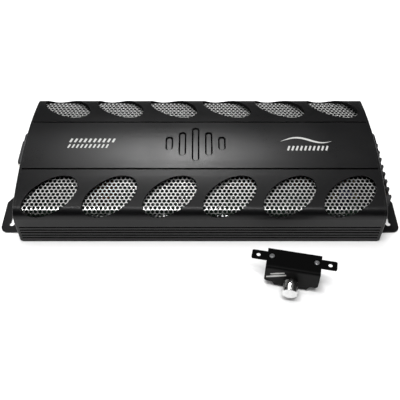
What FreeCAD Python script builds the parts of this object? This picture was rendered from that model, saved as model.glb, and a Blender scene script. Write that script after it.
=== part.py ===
import FreeCAD, Part
import math
import os

# Car amplifier with a wired level control. Millimetres, +X right, +Y rear, +Z up.
# The origin is the centre of the amplifier's underside.

V = FreeCAD.Vector

# ---------------------------------------------------------------- driving sizes
body_length = 400.0
body_depth = 188.0
body_height = 60.5
crown_radius = 334.0
shoulder_radius = 12.0
shell_wall = 3.2
plate_thick = 1.6
panel_thick = 3.0
screw_radius = 1.5
tap_radius = 1.25
head_radius = 2.9

# clearances
sheet_gap = 0.25
part_gap = 0.3
running_gap = 0.05

# heat sink details
groove_count = 5
groove_pitch = 4.5
groove_first = 6.5
groove_width = 2.0
groove_deep = 2.2
seam_inset = 56.0
seam_width = 2.2
seam_deep = 1.6
emblem_deep = 1.5
emblem_heights = (22.0, 38.0, 54.0, 38.0, 22.0)
emblem_bar = 8.5
emblem_pitch = 15.0
emblem_x = -5.0

# oval windows
window_count = 6
window_pitch = 64.8
window_long = 32.3
window_short = 18.5
window_turn = 31.3
window_tilt = 38.0
window_inset = 21.0

# perforated sheets
sheet_thick = 1.0
sheet_past_seam = 3.0
sheet_drop = 4.5
hook_reach = 2.2
hole_radius = 1.95
hole_pitch = 4.82
row_pitch = 4.17
hole_border = 2.4
bend_facets = 4

# mounting ears
ear_reach = 25.0
ear_inset = 12.0
ear_width = 43.3
ear_corner = 8.0
ear_slope = 1.57
key_out = 13.8
key_inset = 23.5
key_radius = 3.0
key_slot_half = 1.4
key_slot_run = 11.5

# inside
board_thick = 1.6
board_z = 10.5
foot_height = 7.8
foot_width = 7.3
port_radius = 3.2
lip_thick = 1.4
transistor_x = range(-150, 175, 20)
clamp_spans = ((-161, -79), (-61, 1), (19, 81), (99, 161))
case_thick = 4.5
pad_sheet = 0.3

# right end
way_count = 7
way_pitch = 11.6
block_y = -15.4
block_reach = 13.5
block_top = 34.0
wire_radius = 3.4
wire_z = 20.5
fuse_pitch = 12.5
fuse_y = 48.7
fuse_z = 24.5

# left end
rca_y = 6.5
rca_pitch_y = 18.0
rca_low_z = 17.5
rca_pitch_z = 14.0
rca_margin = 7.0
rca_radius = 4.15
rca_reach = 12.5
rca_proud = 4.0
rca_collar = 4.6
hood_reach = 10.5
hood_thick = 3.0
hood_side = 9.5
knob_y = (38.0, 51.5, 65.0)
knob_radius = 4.6
knob_reach = 9.0
shaft_radius = 3.0
control_z = 19.0
switch_y = (-42.0, -55.0)
switch_travel = 3.0
led_inset = (9.0, 5.0)
led_radius = 1.5
jack_y = -25.0
jack_width = 13.0
jack_height = 12.5
jack_deep = 14.0
socket_width = 9.7
socket_height = 6.8

# level control
remote_x = 96.6
remote_y = -144.0
remote_turn = -11.0
remote_width = 56.0
remote_depth = 24.0
remote_height = 32.0
remote_wall = 1.2
remote_panel_low = 7.5
tray_cut_back = 5.0
remote_ear = 16.0
remote_ear_depth = 11.0
remote_hole_inset = 7.0
remote_hole_y = 2.0
remote_hole_radius = 2.2
remote_screw_inset = 5.0
remote_tab_half = 19.5
remote_knob_radius = 8.0
remote_knob_length = 13.0
remote_knob_z = 12.6

half_length = body_length / 2
half_depth = body_depth / 2
sink_half = half_length - panel_thick
crown_z = body_height - crown_radius
corner_y = half_depth - shoulder_radius
corner_z = crown_z + math.sqrt((crown_radius - shoulder_radius) ** 2 - corner_y ** 2)
corner_lean = math.atan2(corner_y, corner_z - crown_z)
seam_y = half_depth - seam_inset
window_y = half_depth - window_inset
window_z = crown_z + math.sqrt(crown_radius ** 2 - window_y ** 2)
sheet_inner_y = seam_y + sheet_past_seam
sheet_foot_z = corner_z - sheet_drop
board_top = board_z + board_thick
pad_thick = shell_wall + sheet_gap + sheet_thick + sheet_gap + lip_thick
pad_face = half_depth - pad_thick
sheet_outer = shell_wall + sheet_gap
sheet_inner = sheet_outer + sheet_thick
roof_radius = crown_radius - shell_wall
port_z = crown_z + math.sqrt(roof_radius ** 2 - seam_y ** 2) - 2 * port_radius
foot_port_y = pad_face - 1.0
foot_port_z = plate_thick + foot_height / 2
room_height = port_z - port_radius - board_top - part_gap
clamp_z = sheet_foot_z - 7.0
key_x = half_length + key_out
key_y = half_depth - key_inset
led_y = [inset - pad_face for inset in led_inset]
block_x0 = half_length - 15.0

nodes = {}


# ---------------------------------------------------------------- helpers
def save(name, shapes):
    """Write one node: a single solid, or a group of separate solids."""
    if not isinstance(shapes, (list, tuple)):
        shapes = [shapes]
    solids = [solid for shape in shapes for solid in shape.Solids]
    whole = solids[0] if len(solids) == 1 else Part.makeCompound(solids)
    whole.exportStep("parts/" + name + ".step")
    nodes[name] = len(solids)


def box(x0, x1, y0, y1, z0, z1):
    """A block between two corners."""
    return Part.makeBox(x1 - x0, y1 - y0, z1 - z0, V(x0, y0, z0))


def rod(radius, length, start, direction):
    """A cylinder from a start point along a direction."""
    return Part.makeCylinder(radius, length, V(*start), V(*direction))


def mirror_y(shape):
    """The same shape on the other side of the length axis."""
    return shape.mirror(V(0, 0, 0), V(0, 1, 0))


def round_box(x0, x1, y0, y1, z0, z1, radius, axis):
    """A block whose four edges along one axis are rounded."""
    block = box(x0, x1, y0, y1, z0, z1)
    edges = []
    for edge in block.Edges:
        along = edge.tangentAt(edge.FirstParameter)
        if abs(along.dot(axis)) > 0.99:
            edges.append(edge)
    return block.makeFillet(radius, edges)


def polygon(points, normal, height):
    """A prism on a closed outline of points."""
    wire = Part.makePolygon([V(*p) for p in points] + [V(*points[0])])
    return Part.Face(wire).extrude(V(*normal) * height)


def wire_face(edges):
    """A flat face inside a closed chain of edges."""
    return Part.Face(Part.Wire(edges))


def arc(a, b, c):
    """An arc through three points."""
    return Part.Arc(a, b, c).toShape()


def line(a, b):
    """A straight edge."""
    return Part.LineSegment(a, b).toShape()


def crown_face(offset, base):
    """The body's cross-section, moved inward by offset, standing on height base."""
    radius = crown_radius - offset
    corner = shoulder_radius - offset
    half = half_depth - offset

    def on_corner(side, angle):
        return V(0, side * (corner_y + corner * math.sin(angle)), corner_z + corner * math.cos(angle))

    middle = (corner_lean + math.pi / 2) / 2
    left = [on_corner(-1, a) for a in (math.pi / 2, middle, corner_lean)]
    right = [on_corner(1, a) for a in (corner_lean, middle, math.pi / 2)]
    edges = [line(V(0, -half, base), left[0]), arc(*left), arc(left[2], V(0, 0, crown_z + radius), right[0]),
             arc(*right), line(right[2], V(0, half, base)), line(V(0, half, base), V(0, -half, base))]
    return wire_face(edges)


def along_x(face, x0, x1):
    """Draw a cross-section out along the body's length."""
    solid = face.extrude(V(x1 - x0, 0, 0))
    solid.translate(V(x0, 0, 0))
    return solid


def surface_point(y, depth=0.0):
    """A point on the crown at a given y, sunk by depth along the surface normal."""
    radius = crown_radius - depth
    return V(0, y, crown_z + math.sqrt(radius ** 2 - y ** 2))


# ---------------------------------------------------------------- heat sink
def window_cutters():
    """Slanted oval prisms, one for each window in the front shoulder."""
    tilt = math.radians(window_tilt)
    axis = V(0, -math.sin(tilt), math.cos(tilt))
    across = V(0, math.cos(tilt), math.sin(tilt))
    turn = math.radians(window_turn)
    long_way = V(1, 0, 0) * math.cos(turn) + across * math.sin(turn)
    reach = 26.0
    cutters = []
    for index in range(window_count):
        centre_x = (index - (window_count - 1) / 2) * window_pitch
        centre = V(centre_x, -window_y, window_z) - axis * reach
        oval = Part.Ellipse(centre + long_way * window_long,
                            centre + axis.cross(long_way) * window_short, centre)
        cutters.append(wire_face([oval.toShape()]).extrude(axis * (reach * 2)))
    return cutters


def long_box(y0, y1, z0, z1):
    """A block as long as the heat sink."""
    return box(-sink_half, sink_half, y0, y1, z0, z1)


def heat_sink_ribs():
    """Both halves' ribs and the middle screw port, kept inside the outer surface."""
    foot_top = plate_thick + foot_height
    shelf_top = sheet_foot_z - sheet_gap
    hook_low = surface_point(sheet_inner_y + hook_reach, sheet_inner + sheet_gap).z
    front = [long_box(-half_depth + 1, -pad_face, plate_thick, shelf_top),
             long_box(-pad_face - lip_thick, -pad_face, shelf_top - 1, shelf_top + 2.5),
             long_box(-pad_face - 1, -pad_face + foot_width, plate_thick, foot_top),
             long_box(-sheet_inner_y + sheet_gap, -seam_y + 1.5, port_z, body_height - shell_wall),
             long_box(-sheet_inner_y - hook_reach, -seam_y + 1.5, hook_low - 1.6, hook_low),
             rod(port_radius, 2 * sink_half, (-sink_half, -seam_y, port_z), (1, 0, 0))]
    middle = [long_box(-1.2, 1.2, port_z, body_height - 1.5),
              rod(port_radius, 2 * sink_half, (-sink_half, 0, port_z), (1, 0, 0))]
    ribs = front[0].multiFuse(front[1:] + middle)
    ribs = ribs.fuse(mirror_y(front[0].multiFuse(front[1:])))
    return ribs.common(along_x(crown_face(shell_wall / 2, plate_thick), -sink_half, sink_half))


def emblem_cutters():
    """A plain row of round-ended level bars sunk into the crown."""
    cutters = []
    for index, height in enumerate(emblem_heights):
        x = emblem_x + (index - (len(emblem_heights) - 1) / 2) * emblem_pitch
        half = emblem_bar / 2
        block = round_box(x - half, x + half, -height / 2, height / 2,
                          body_height - 6, body_height + 2, half - 0.05, V(0, 0, 1))
        keep = along_x(crown_face(emblem_deep, plate_thick), x - half - 1, x + half + 1)
        cutters.append(block.cut(keep))
    return cutters


def end_screw_points():
    """Where the end panels' screws enter the heat sink, as y and z."""
    points = [(0, port_z)]
    for side in (-1, 1):
        points.append((side * seam_y, port_z))
        points.append((side * foot_port_y, foot_port_z))
    return points


def bottom_screw_points():
    """Where the bottom plate's screws enter the feet, as x and y."""
    return [(x, side * foot_port_y) for side in (-1, 1) for x in (-168, -84, 0, 84, 168)]


def heat_sink():
    """The arched extrusion: roof, shoulders, walls, fins and channels."""
    shell = along_x(crown_face(0, plate_thick), -sink_half, sink_half)
    shell = shell.cut(along_x(crown_face(shell_wall, plate_thick - 1), -sink_half - 1, sink_half + 1))
    windows = window_cutters()
    shell = shell.cut(windows + [mirror_y(cutter) for cutter in windows])
    solid = shell.fuse(heat_sink_ribs()).removeSplitter()
    cuts = []
    for side in (-1, 1):
        for index in range(groove_count):
            z = groove_first + index * groove_pitch
            y = side * half_depth
            cuts.append(long_box(y - groove_deep, y + groove_deep, z - groove_width / 2, z + groove_width / 2))
        y = side * seam_y
        seam_low = surface_point(seam_y).z - seam_deep
        cuts.append(long_box(y - seam_width / 2, y + seam_width / 2, seam_low, body_height))
    for y, z in end_screw_points():
        for side in (-1, 1):
            cuts.append(rod(tap_radius, 14, (side * sink_half, y, z), (-side, 0, 0)))
    for x, y in bottom_screw_points():
        cuts.append(rod(tap_radius, 6.4, (x, y, plate_thick), (0, 0, 1)))
    for side, x in clamp_screw_points():
        cuts.append(rod(tap_radius, 3.4, (x, side * pad_face, clamp_z), (0, side, 0)))
    solid = solid.cut(cuts + emblem_cutters())
    return solid.Solids[0]


# ---------------------------------------------------------------- perforated sheets
def front_sheet():
    """A thin strip, flat under the crown and bent down at the shoulder, with staggered holes behind the windows."""
    corner = shoulder_radius - sheet_outer
    inner_end = surface_point(sheet_inner_y, sheet_outer)
    shoulder = V(0, corner_y + corner * math.sin(corner_lean), corner_z + corner * math.cos(corner_lean))
    lean = math.atan2(inner_end.z - shoulder.z, shoulder.y - inner_end.y)
    hub_z = inner_end.z - (corner_y - inner_end.y) * math.tan(lean) - corner / math.cos(lean)
    turn = math.pi / 2 - lean

    def on_bend(radius, angle):
        return V(0, -corner_y - radius * math.sin(angle), hub_z + radius * math.cos(angle))

    def on_run(run):
        """The place and the outward direction at a distance past the bend's start."""
        angle = lean + min(max(run / corner, 0), turn)
        along = V(0, -math.cos(angle), -math.sin(angle))
        straight = min(run, 0) + max(run - turn * corner, 0)
        return on_bend(corner, angle) + along * straight, V(0, along.z, -along.y)

    flat_run = (corner_y + corner * math.sin(lean) - sheet_inner_y) / math.cos(lean)
    start, normal = on_run(-flat_run)
    angles = [lean + turn * step / bend_facets for step in range(bend_facets + 1)]
    outer = [start] + [on_bend(corner, angle) for angle in angles]
    outer.append(V(0, sheet_outer - half_depth, sheet_foot_z))
    inner = [start - normal * sheet_thick] + [on_bend(corner - sheet_thick, angle) for angle in angles]
    inner.append(V(0, sheet_inner - half_depth, sheet_foot_z))
    length = 2 * (sink_half - part_gap)
    strip = polygon([V(-length / 2, p.y, p.z) for p in outer + inner[::-1]], (1, 0, 0), length)
    drills = []
    row = 0
    run = hole_border - flat_run
    foot, outward = on_run(run)
    while foot.z > sheet_foot_z + hole_border:
        for x in row_places(foot, row):
            drill_start = foot + V(x, 0, 0) - outward * 2.5 * sheet_thick
            drills.append(rod(hole_radius, 4 * sheet_thick, drill_start, outward))
        row += 1
        run += row_pitch
        foot, outward = on_run(run)
    return strip.cut(drills).Solids[0]


def row_places(foot, row):
    """Hole places along one row, kept to what the windows show."""
    tilt = math.radians(window_tilt)
    turn = math.radians(window_turn)
    height = (foot.y + window_y) * math.cos(tilt) + (foot.z - window_z) * math.sin(tilt)
    places = []
    count = int(sink_half / hole_pitch)
    for index in range(-count, count + 1):
        x = (index + 0.5 * (row % 2)) * hole_pitch
        nearest = round(x / window_pitch - 0.5) + 0.5
        across = x - nearest * window_pitch
        u = across * math.cos(turn) + height * math.sin(turn)
        v = height * math.cos(turn) - across * math.sin(turn)
        inside = (u / (window_long + 4)) ** 2 + (v / (window_short + 4)) ** 2 < 1
        if inside and abs(x) < sink_half - 4 and abs(nearest) < window_count / 2:
            places.append(x)
    return places


# ---------------------------------------------------------------- case plates
def key_slot(x, y, side):
    """A keyhole: round at the outer end, a narrow slot towards the middle."""
    hole = rod(key_radius, plate_thick + 2, (x, side * y, -1), (0, 0, 1))
    slot_end = y - key_slot_run
    low, high = sorted((side * y, side * slot_end))
    slot = box(x - key_slot_half, x + key_slot_half, low, high, -1, plate_thick + 1)
    end = rod(key_slot_half, plate_thick + 2, (x, side * slot_end, -1), (0, 0, 1))
    return hole.multiFuse([slot, end])


def ear(side_x, side_y):
    """One mounting ear, with round corners and a keyhole."""
    tip = half_length + ear_reach
    root = half_length - 10
    waist = half_length + 10
    ear_front_y = half_depth - ear_inset
    ear_back_y = ear_front_y - ear_width
    waist_y = ear_back_y - (tip - waist) * ear_slope
    outline = [(root, ear_front_y), (tip, ear_front_y), (tip, ear_back_y), (waist, waist_y), (root, waist_y)]
    blank = polygon([(side_x * x, side_y * y, 0) for x, y in outline], (0, 0, 1), plate_thick)
    corners = {(tip, ear_front_y): ear_corner, (tip, ear_back_y): 5.0, (waist, waist_y): 5.0}
    for (x, y), radius in corners.items():
        edges = [edge for edge in blank.Edges if len(edge.Vertexes) == 2
                 and all(math.hypot(v.X - side_x * x, v.Y - side_y * y) < 0.01 for v in edge.Vertexes)]
        blank = blank.makeFillet(radius, edges)
    return blank.cut(key_slot(side_x * key_x, key_y, side_y))


def bottom_plate():
    """The steel base, one piece with its four mounting ears."""
    plate = round_box(-half_length, half_length, -half_depth, half_depth, 0, plate_thick, 4, V(0, 0, 1))
    ears = [ear(side_x, side_y) for side_x in (-1, 1) for side_y in (-1, 1)]
    plate = plate.multiFuse(ears).removeSplitter()
    cuts = []
    for x, y in bottom_screw_points():
        gap = running_gap * 2
        cuts.append(Part.makeCone(head_radius + gap, screw_radius + gap, plate_thick, V(x, y, 0), V(0, 0, 1)))
    for x, y in standoff_points():
        cuts.append(rod(screw_radius + 0.1, plate_thick + 2, (x, y, -1), (0, 0, 1)))
    return plate.cut(cuts)


def end_panel(side, cutouts):
    """A flat panel that closes one end of the heat sink."""
    x0, x1 = sorted((side * sink_half, side * half_length))
    face = crown_face(0, plate_thick)
    panel = along_x(face, x0, x1)
    rim = [edge for edge in panel.Edges
           if all(abs(v.X - side * half_length) < 0.01 for v in edge.Vertexes)]
    panel = panel.makeChamfer(0.6, rim)
    holes = [rod(screw_radius + 0.2, panel_thick + 2, (side * (sink_half - 1), y, z), (side, 0, 0))
             for y, z in end_screw_points()]
    return panel.cut(holes + cutouts)


def panel_screws(side):
    """Round-headed screws with a cross slot, holding one end panel."""
    screws = []
    for y, z in end_screw_points():
        head = rod(head_radius, 2, (side * (half_length + 0.02), y, z), (side, 0, 0))
        rim = [e for e in head.Edges if len(e.Vertexes) == 1 and abs(e.Vertexes[0].X) > half_length + 1]
        head = head.makeFillet(1.2, rim)
        shank = rod(tap_radius - 0.02, panel_thick + 8, (side * (sink_half - 8), y, z), (side, 0, 0))
        x = side * (half_length + 1.6)
        slots = [box(x - 0.9, x + 0.9, y - 1.7, y + 1.7, z - 0.35, z + 0.35),
                 box(x - 0.9, x + 0.9, y - 0.35, y + 0.35, z - 1.7, z + 1.7)]
        screws.append(head.fuse(shank).cut(slots))
    return screws


def bottom_screws():
    """Countersunk screws, flush with the underside."""
    screws = []
    for x, y in bottom_screw_points():
        head = Part.makeCone(head_radius, screw_radius, plate_thick - 0.02, V(x, y, 0.02), V(0, 0, 1))
        shank = rod(tap_radius - 0.02, 6.5, (x, y, 0.8), (0, 0, 1))
        slot = box(x - 2, x + 2, y - 0.35, y + 0.35, -1, 0.7)
        screws.append(head.fuse(shank).cut(slot))
    return screws


# ---------------------------------------------------------------- power section

def standoff_points():
    """Where the board's supports stand."""
    return [(x, y) for x in (21 - sink_half, -60, 60, sink_half - 21) for y in (-58, 58)]


def clamp_screw_points():
    """Screws between transistors, as side and x."""
    return [(side, x) for side in (-1, 1) for x in (-140, -100, -40, -20, 40, 60, 120, 140)]


def main_board():
    """The printed board that carries everything inside."""
    edge = pad_face - 1.2
    board = box(-sink_half + 1, sink_half - 1, -edge, edge, board_z, board_top)
    return board.cut([rod(screw_radius + 0.1, 4, (x, y, board_z - 1), (0, 0, 1)) for x, y in standoff_points()])


def standoffs():
    """Hexagonal threaded supports between the plate and the board."""
    supports = []
    for x, y in standoff_points():
        points = [(x + 3 * math.cos(a * math.pi / 3), y + 3 * math.sin(a * math.pi / 3), plate_thick)
                  for a in range(6)]
        column = polygon(points, (0, 0, 1), board_z - plate_thick)
        supports.append(column.cut(rod(tap_radius, 12, (x, y, 0), (0, 0, 1))))
    return supports


def board_screws():
    """Pan-head screws through the board into the supports."""
    screws = []
    for x, y in standoff_points():
        head = rod(2.8, 2, (x, y, board_top), (0, 0, 1))
        shank = rod(tap_radius - 0.02, board_thick + 4.02, (x, y, board_top - board_thick - 4), (0, 0, 1))
        slot = box(x - 1.8, x + 1.8, y - 0.35, y + 0.35, board_top + 1.2, board_top + 3)
        screws.append(head.fuse(shank).cut(slot))
    return screws


toroid_height = room_height - 12.0
toroids = [(x, 0.0, 24.0, 12.0, toroid_height, 26) for x in (62.0, 118.0)]
inductors = [(-112.0, y, 15.0, 7.5, 12.0, 18) for y in (-40.0, 40.0)]


def ring_core(x, y, outer, inner, height):
    """A ferrite ring lying flat above the board."""
    base = board_top + 2.4
    ring = rod(outer, height, (x, y, base), (0, 0, 1)).cut(rod(inner, height + 2, (x, y, base - 1), (0, 0, 1)))
    return ring.makeFillet(1.2, [e for e in ring.Edges if len(e.Vertexes) == 1])


def ring_winding(x, y, outer, inner, height, turns):
    """Separate turns of enamelled wire round a ring core."""
    base = board_top + 2.4
    wire = min(1.6, 2 * math.pi * (inner - 2) / turns * 0.8)
    loop = box(inner - 0.3 - wire, outer + 0.3 + wire, -wire / 2, wire / 2, base - 0.3 - wire,
               base + height + 0.3 + wire)
    loop = loop.makeFillet(wire * 0.8, [e for e in loop.Edges
                                        if abs(e.tangentAt(e.FirstParameter).y) > 0.99])
    loop = loop.cut(box(inner - 0.3, outer + 0.3, -wire, wire, base - 0.3, base + height + 0.3))
    loops = []
    for index in range(turns):
        turn = loop.copy()
        turn.rotate(V(0, 0, 0), V(0, 0, 1), index * 360 / turns + 3)
        turn.translate(V(x, y, 0))
        loops.append(turn)
    return loops


def capacitors(places, radius, height):
    """Upright can capacitors with a crimped ring near the foot."""
    cans = []
    for x, y in places:
        can = rod(radius, height, (x, y, board_top), (0, 0, 1))
        can = can.makeFillet(1.2, [e for e in can.Edges if len(e.Vertexes) == 1])
        crimp = Part.makeTorus(radius + 0.2, 0.8, V(x, y, board_top + 4.5), V(0, 0, 1))
        cans.append(can.cut(crimp))
    return cans


def transistors(side):
    """A row of power transistors standing against one wall."""
    face = pad_face - pad_sheet
    row = []
    for x in transistor_x:
        parts = [box(x - 5, x + 5, face - case_thick, face - 1.3, clamp_z - 10, clamp_z - 0.5),
                 box(x - 5, x + 5, face - 1.3, face, clamp_z - 10, clamp_z + 5)]
        for lead in (-2.54, 0, 2.54):
            parts.append(box(x + lead - 0.4, x + lead + 0.4, face - 2.9, face - 2.3, board_top, clamp_z - 9.9))
        solid = parts[0].multiFuse(parts[1:])
        row.append(solid if side > 0 else mirror_y(solid))
    return row


def thermal_pad(side):
    """A thin insulating strip between the transistors and the wall."""
    strip = box(-158, 158, pad_face - pad_sheet, pad_face, clamp_z - 12, clamp_z + 5.5)
    strip = strip if side > 0 else mirror_y(strip)
    return strip.cut([rod(tap_radius + 0.4, 2, (x, s * (pad_face - 1), clamp_z), (0, s, 0))
                      for s, x in clamp_screw_points() if s == side])


def clamp_bars():
    """Spring-steel bars that press the transistors to the walls."""
    bars = []
    back = pad_face - pad_sheet - case_thick
    for side in (-1, 1):
        for x0, x1 in clamp_spans:
            bar = box(x0, x1, back - 1.5, back, clamp_z - 8, clamp_z - 1)
            fold = box(x0, x1, back - 4.0, back, clamp_z - 1, clamp_z + 0.5)
            tab = box(x0, x1, back - 1.5, back, clamp_z - 1, clamp_z + 3)
            bar = bar.multiFuse([fold, tab]).removeSplitter()
            holes = [rod(screw_radius + 0.2, 8, (x, back - 6, clamp_z), (0, 1, 0))
                     for s, x in clamp_screw_points() if s == side and x0 < x < x1]
            bar = bar.cut(holes)
            bars.append(bar if side > 0 else mirror_y(bar))
    return bars


def clamp_screws():
    """Screws from the clamp bars into the wall pads."""
    screws = []
    back = pad_face - pad_sheet - case_thick
    for side, x in clamp_screw_points():
        head = rod(2.8, 2, (x, side * (back - 4.0), clamp_z), (0, -side, 0))
        shank = rod(tap_radius - 0.02, case_thick + 7, (x, side * (back - 4.1), clamp_z), (0, side, 0))
        screws.append(head.fuse(shank))
    return screws


def control_chips():
    """Small driver circuits on the board."""
    chips = []
    for x, y in ((-160, -18), (-160, -38), (-140, 12), (-22, -48), (-22, 48), (86, 46), (86, -46)):
        body = box(x - 5, x + 5, y - 3, y + 3, board_top + 0.4, board_top + 3.2)
        legs = [box(x + k * 1.27 - 0.2, x + k * 1.27 + 0.2, y - 4.4, y + 4.4, board_top, board_top + 0.9)
                for k in range(-3, 4)]
        chips.append(body.multiFuse(legs))
    return chips


def busbars():
    """Heavy brass strips from the terminals to the power stage."""
    bars = []
    for index in range(3):
        y = block_y - (index - 1) * way_pitch * 2
        bars.append(box(block_x0 - 36, block_x0 - 2, y - 3, y + 3, board_top, board_top + 2))
    return bars


# ---------------------------------------------------------------- right end
block_half = way_count * way_pitch / 2 + 1.2
block_x1 = half_length + block_reach
rib_x0 = half_length + 0.2


def way_places():
    """The middle of each terminal, along y."""
    return [block_y + (index - (way_count - 1) / 2) * way_pitch for index in range(way_count)]


def terminal_block():
    """Black moulding with ribs between its clamps and a wire hole for each."""
    deck = wire_z + 7.0
    body = box(block_x0, block_x1, block_y - block_half, block_y + block_half, board_top, deck)
    ribs = []
    for index in range(way_count + 1):
        y = block_y + (index - way_count / 2) * way_pitch
        rib = box(rib_x0, block_x1, y - 1.2, y + 1.2, deck - 1, block_top)
        ribs.append(rib.makeFillet(1.1, [e for e in rib.Edges
                                         if all(v.Z > block_top - 0.01 for v in e.Vertexes)
                                         and abs(e.tangentAt(e.FirstParameter).x) < 0.01
                                         and abs(e.Vertexes[0].X - block_x1) < 0.01]))
    body = body.multiFuse(ribs).removeSplitter()
    cuts = []
    for y in way_places():
        cuts.append(rod(wire_radius, block_x1 - block_x0, (block_x0 + 6, y, wire_z), (1, 0, 0)))
        cuts.append(box(rib_x0 + 1, block_x1 - 2.5, y - 4.3, y + 4.3, wire_z - 4.8, deck + 1))
        cuts.append(rod(3.2, 10, (half_length + 6.5, y, wire_z + 3), (0, 0, 1)))
    return body.cut(cuts)


def terminal_clamps():
    """Brass blocks inside the ways, bored for the wire and tapped for the screw."""
    clamps = []
    deck = wire_z + 7.0
    for y in way_places():
        block = box(rib_x0 + 1.1, block_x1 - 2.6, y - 4.2, y + 4.2, wire_z - 4.7, deck - 0.6)
        block = block.cut(rod(wire_radius, 30, (rib_x0 - 2, y, wire_z), (1, 0, 0)))
        clamps.append(block.cut(rod(tap_radius + 0.5, 8, (half_length + 6.5, y, wire_z + 2), (0, 0, 1))))
    return clamps


def terminal_screws():
    """Slotted clamp screws seen between the ribs."""
    screws = []
    deck = wire_z + 7.0
    for y in way_places():
        x = half_length + 6.5
        head = rod(2.9, 2.4, (x, y, deck - 0.55), (0, 0, 1))
        shank = rod(tap_radius + 0.4, 3.6, (x, y, deck - 3.9), (0, 0, 1))
        slot = box(x - 3, x + 3, y - 0.4, y + 0.4, deck + 1.1, deck + 3)
        screws.append(head.fuse(shank).cut(slot))
    return screws


def fuse_places():
    """The middle of each fuse, along y."""
    return [fuse_y - fuse_pitch / 2, fuse_y + fuse_pitch / 2]


def fuse_holder():
    """A moulding with two rows of blade slots, set through the right panel."""
    low = fuse_places()[0] - 5.6
    high = fuse_places()[1] + 5.6
    body = round_box(block_x0, half_length + 2.5, low, high, board_top, fuse_z + 11, 2, V(1, 0, 0))
    cuts = []
    for y in fuse_places():
        cuts.append(box(half_length - 1.5, half_length + 5, y - 3.1, y + 3.1, fuse_z - 10, fuse_z + 10))
        for side in (-1, 1):
            z = fuse_z + side * 6.4
            cuts.append(box(half_length - 9.5, half_length, y - 0.75, y + 0.75, z - 3, z + 3))
    return body.cut(cuts)


def blade_fuse(y):
    """A plug-in fuse: a moulded head and two flat blades."""
    back = half_length - 0.9
    head = round_box(back, back + 10.5, y - 2.6, y + 2.6, fuse_z - 9.5, fuse_z + 9.5, 1.0, V(0, 1, 0))
    notch = box(back + 9.6, back + 12, y - 3, y + 3, fuse_z - 3.0, fuse_z + 3.0)
    head = head.cut(notch)
    blades = []
    for side in (-1, 1):
        z = fuse_z + side * 6.4
        blades.append(box(back - 7.5, back + 1, y - 0.4, y + 0.4, z - 2.6, z + 2.6))
    return head.multiFuse(blades)


def right_cutouts():
    """Openings in the right panel for the terminals and fuses."""
    x0 = sink_half - 1
    x1 = half_length + 1
    low = fuse_places()[0] - 5.6
    high = fuse_places()[1] + 5.6
    terminals = box(x0, x1, block_y - block_half - 0.2, block_y + block_half + 0.2, board_top - 0.3, wire_z + 7.2)
    fuses = round_box(x0, x1, low - 0.2, high + 0.2, board_top - 0.2, fuse_z + 11.2, 2.1, V(1, 0, 0))
    return [terminals, fuses]


# ---------------------------------------------------------------- left end
rca_half_y = rca_pitch_y / 2 + hood_side
rca_high = rca_low_z + rca_pitch_z + rca_margin


def rca_points():
    """Axes of the four signal sockets, as y and z."""
    return [(rca_y + sy * rca_pitch_y / 2, rca_low_z + row * rca_pitch_z) for sy in (-1, 1) for row in (0, 1)]


def rca_housing():
    """The black block that holds the signal sockets, proud of the left panel."""
    body = box(-sink_half + 0.2, -sink_half + 15, rca_y - rca_half_y + 1, rca_y + rca_half_y - 1,
               board_top, rca_high - 1)
    nose = round_box(-half_length - rca_proud, -sink_half + 1, rca_y - rca_half_y, rca_y + rca_half_y,
                     board_top + 0.3, rca_high, 5, V(1, 0, 0))
    whole = body.fuse(nose).removeSplitter()
    cuts = [rod(rca_collar, 9 + rca_proud, (-half_length - 2 * rca_proud, y, z), (1, 0, 0)) for y, z in rca_points()]
    return whole.cut(cuts + hood_pegs(part_gap / 2))


def hood_pegs(gap):
    """Square pegs under the hood, or their sockets when given a gap."""
    low = rca_high - 2.0
    return [box(-half_length - 3.2 - gap, -half_length - 0.8 + gap, y - 1.5 - gap, y + 1.5 + gap, low - gap,
                rca_high + gap) for y in (rca_y - rca_pitch_y / 2, rca_y + rca_pitch_y / 2)]


def socket_hood():
    """A black ledge over the signal sockets, pegged into their block."""
    ledge = box(-half_length - hood_reach, -half_length, rca_y - rca_half_y, rca_y + rca_half_y, rca_high,
                rca_high + hood_thick)
    outer = [e for e in ledge.Edges if all(v.X < -half_length - 1 for v in e.Vertexes)
             and abs(e.tangentAt(e.FirstParameter).z) > 0.99]
    ledge = ledge.makeFillet(3.0, outer)
    rim = [e for e in ledge.Edges if all(v.Z > rca_high + 1 and v.X < -half_length - 0.01 for v in e.Vertexes)]
    ledge = ledge.makeChamfer(0.8, rim)
    return ledge.multiFuse(hood_pegs(0))


def rca_barrels():
    """Nickel sleeves with a white core, open for the plug's pin."""
    sleeves = []
    for y, z in rca_points():
        sleeve = rod(rca_radius, rca_reach, (-half_length - rca_reach, y, z), (1, 0, 0))
        collar = rod(rca_collar, 9, (-half_length - rca_proud, y, z), (1, 0, 0))
        sleeve = sleeve.fuse(collar).cut(rod(3.3, rca_reach, (-half_length - rca_reach - 1, y, z), (1, 0, 0)))
        sleeves.append(sleeve)
    return sleeves


def rca_cores():
    """Insulating cores with the centre contact's hole."""
    cores = []
    for y, z in rca_points():
        core = rod(3.3, rca_reach - 2.4, (-half_length - rca_reach + 1.4, y, z), (1, 0, 0))
        cores.append(core.cut(rod(1.6, rca_reach - 5, (-half_length - rca_reach, y, z), (1, 0, 0))))
    return cores


def phone_socket(front, side, y, low, reach):
    """A cable socket: a moulded box with a stepped opening and a latch notch."""
    x0, x1 = sorted((front, front + side * reach))
    body = box(x0, x1, y - jack_width / 2, y + jack_width / 2, low, low + jack_height)
    middle = low + jack_height / 2 + 0.5
    c0, c1 = sorted((front - side, front + side * (reach - 2.5)))
    opening = box(c0, c1, y - socket_width / 2, y + socket_width / 2, middle - socket_height / 2,
                  middle + socket_height / 2)
    latch = box(c0, c1, y - 1.6, y + 1.6, middle - socket_height / 2 - 2, middle)
    return body.cut([opening, latch])


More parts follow.
